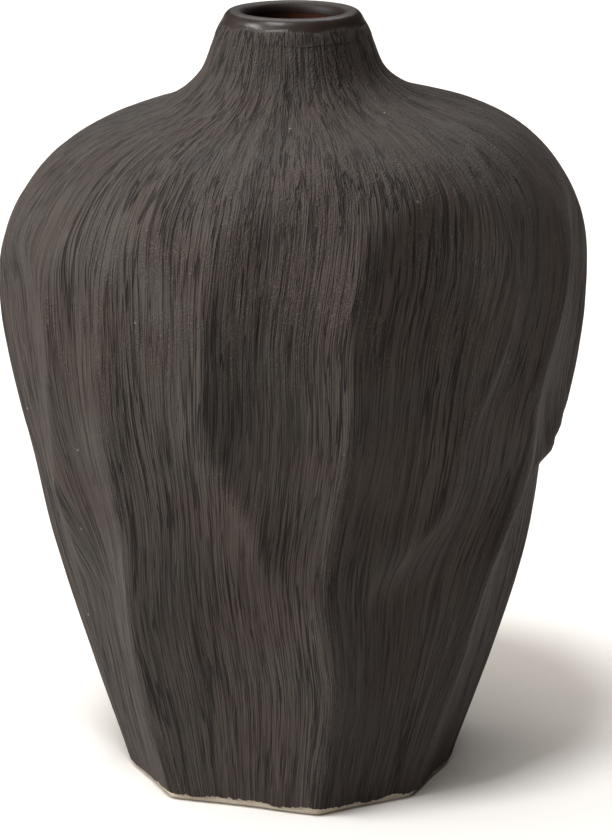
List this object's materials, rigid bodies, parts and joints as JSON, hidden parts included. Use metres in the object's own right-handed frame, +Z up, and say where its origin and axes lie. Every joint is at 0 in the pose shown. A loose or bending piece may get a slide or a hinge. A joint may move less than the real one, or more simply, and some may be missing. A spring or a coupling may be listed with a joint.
{
  "type": "vase",
  "caption": "Faceted shouldered stoneware vase with a short neck, narrow glossy mouth, matte brushed coat, gloss lining and a bare clay foot.",
  "frame": {"origin": "the foot's plane, on the axis of the mouth", "axes": "+Z up along the axis of the mouth; the vase's front faces -Y, +X is to its right"},
  "size_m": [0.1501, 0.1475, 0.2],
  "materials": {
    "bare_stoneware": "unglazed pale stoneware, slightly gritty",
    "matte_glaze": "matte brown-black, combed and brushed, mottled green-grey and red-brown",
    "gloss_glaze": "smooth gloss dark brown",
    "lining_glaze": "gloss red-brown lining"
  },
  "bodies": {
    "root": {"clay_body": "bare_stoneware", "outer_glaze": "matte_glaze", "lip_glaze": "gloss_glaze", "inner_glaze": "lining_glaze"}
  },
  "joints": []
}
